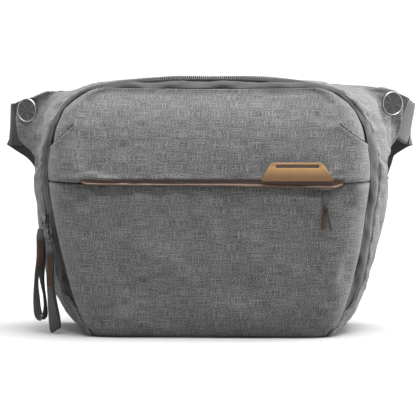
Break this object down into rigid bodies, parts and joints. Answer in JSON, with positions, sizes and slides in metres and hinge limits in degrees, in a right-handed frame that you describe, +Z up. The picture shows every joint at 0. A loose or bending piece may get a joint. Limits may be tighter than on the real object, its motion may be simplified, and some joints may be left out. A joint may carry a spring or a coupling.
{
  "type": "camera sling bag",
  "caption": "Padded soft camera sling with a fold-down zipped front, flap-covered outer pocket, side wings, swivelling webbing strap and movable inner dividers.",
  "frame": {"origin": "middle of the flat underside of the base, on the surface that the bag stands on", "axes": "+Z up, -Y towards the front of the bag with the flap pocket, +Y towards the wearer's back, +X to the bag's right side seen from the front"},
  "size_m": [0.3736, 0.1732, 0.224],
  "materials": {
    "heather_fabric": "matt two-tone woven polyester",
    "smooth_nylon": "smooth dark-grey nylon",
    "felt_lining": "soft matt lining",
    "webbing": "smooth seat-belt webbing",
    "hem_leather": "brown, satin",
    "tan_leather": "tan, satin",
    "zip_tape": "weatherproof zip tape",
    "turned_metal": "turned, brushed face",
    "steel": "dull nickel",
    "base_foam": "stiffened base"
  },
  "bodies": {
    "bag_body": {"back_panel": "heather_fabric", "base_board": "base_foam", "base_pad": "felt_lining", "back_sleeve": "felt_lining", "side_panel_left": "heather_fabric", "side_panel_right": "heather_fabric", "top_rear_panel": "heather_fabric", "front_base_band": "heather_fabric", "lower_gusset_left": "smooth_nylon", "lower_gusset_right": "smooth_nylon", "main_zip_rear": "zip_tape", "wing_left": "heather_fabric", "wing_right": "heather_fabric", "strap_disc_left": "turned_metal", "strap_disc_right": "turned_metal", "rivet_cap_left": "turned_metal", "rivet_cap_right": "turned_metal", "strap_webbing_left": "webbing", "strap_webbing_right": "webbing", "strap_keeper": "webbing", "carry_loop_left": "webbing", "carry_loop_right": "webbing"},
    "front_cover": {"front_panel_upper": "heather_fabric", "front_panel_lower": "heather_fabric", "front_gusset": "smooth_nylon", "main_zip_front": "zip_tape", "pocket_lining": "felt_lining", "pocket_zip_tape": "zip_tape", "pocket_hem": "hem_leather", "leather_tab": "tan_leather"},
    "slider_upper": {"main_slider_upper": "steel"},
    "pull_upper": {"slider_ring_upper": "steel", "zip_pull_upper": "webbing"},
    "slider_lower": {"main_slider_lower": "steel"},
    "pull_lower": {"slider_ring_lower": "steel", "zip_pull_lower": "webbing"},
    "pocket_zip_slider": {"pocket_slider": "steel"},
    "pocket_zip_pull": {"pocket_pull": "webbing"},
    "anchor_left": {"strap_anchor_left": "webbing"},
    "anchor_right": {"strap_anchor_right": "webbing"},
    "adjuster": {"strap_adjuster": "turned_metal"},
    "adjuster_tab": {"adjuster_pull_tab": "webbing"},
    "divider_left_body": {"divider_left": "felt_lining"},
    "divider_left_top": {"divider_flap_left": "felt_lining"},
    "divider_right_body": {"divider_right": "felt_lining"},
    "divider_right_top": {"divider_flap_right": "felt_lining"}
  },
  "joints": [
    {"name": "front_cover_fold", "type": "hinge", "parent": "bag_body", "child": "front_cover", "pos_m": [0, -0.0626, 0.041], "axis": [1, 0, 0], "range_deg": [0, 90]},
    {"name": "slider_upper_travel", "type": "slide", "parent": "bag_body", "child": "slider_upper", "axis": [-0.1788, 0, 0.9839], "range_m": [0, 0.03]},
    {"name": "pull_upper_swing", "type": "hinge", "parent": "slider_upper", "child": "pull_upper", "pos_m": [-0.14641, -0.02058, 0.09817], "axis": [-0.4678, 0.8798, -0.085], "range_deg": [0, 60]},
    {"name": "slider_lower_travel", "type": "slide", "parent": "bag_body", "child": "slider_lower", "axis": [-0.1678, 0, 0.9858], "range_m": [0, 0.03]},
    {"name": "pull_lower_swing", "type": "hinge", "parent": "slider_lower", "child": "pull_lower", "pos_m": [-0.14145, -0.02509, 0.08504], "axis": [-0.9713, 0.1713, -0.1653], "range_deg": [0, 60]},
    {"name": "pocket_slider_travel", "type": "slide", "parent": "front_cover", "child": "pocket_zip_slider", "axis": [-1, 0, 0], "range_m": [0, 0.195]},
    {"name": "pocket_pull_swing", "type": "hinge", "parent": "pocket_zip_slider", "child": "pocket_zip_pull", "pos_m": [0.101, -0.06585, 0.129], "axis": [-1, 0, 0], "range_deg": [0, 80]},
    {"name": "anchor_left_swivel", "type": "hinge", "parent": "bag_body", "child": "anchor_left", "pos_m": [-0.1675, 0.05441, 0.193], "axis": [-0.515, -0.8572, 0], "range_deg": [-22, 22]},
    {"name": "anchor_right_swivel", "type": "hinge", "parent": "bag_body", "child": "anchor_right", "pos_m": [0.1605, 0.05021, 0.1995], "axis": [0.515, -0.8572, 0], "range_deg": [-22, 22]},
    {"name": "adjuster_travel", "type": "slide", "parent": "bag_body", "child": "adjuster", "axis": [-0.6486, -0.1052, -0.7538], "range_m": [-0.006, 0.01]},
    {"name": "adjuster_tab_lift", "type": "hinge", "parent": "adjuster", "child": "adjuster_tab", "pos_m": [0.1206, 0.08998, 0.11186], "axis": [0.758, 0.0001, -0.6523], "range_deg": [0, 50]},
    {"name": "divider_left_move", "type": "slide", "parent": "bag_body", "child": "divider_left_body", "axis": [1, 0, 0], "range_m": [-0.025, 0.025]},
    {"name": "divider_left_flap_fold", "type": "hinge", "parent": "divider_left_body", "child": "divider_left_top", "pos_m": [-0.052, 0, 0.1188], "axis": [0, -1, 0], "range_deg": [0, 90]},
    {"name": "divider_right_move", "type": "slide", "parent": "bag_body", "child": "divider_right_body", "axis": [1, 0, 0], "range_m": [-0.025, 0.025]},
    {"name": "divider_right_flap_fold", "type": "hinge", "parent": "divider_right_body", "child": "divider_right_top", "pos_m": [0.052, 0, 0.1188], "axis": [0, 1, 0], "range_deg": [0, 90]}
  ],
  "couplings": [
    {"joint": "slider_lower_travel", "follows": "slider_upper_travel", "ratio": 1}
  ]
}
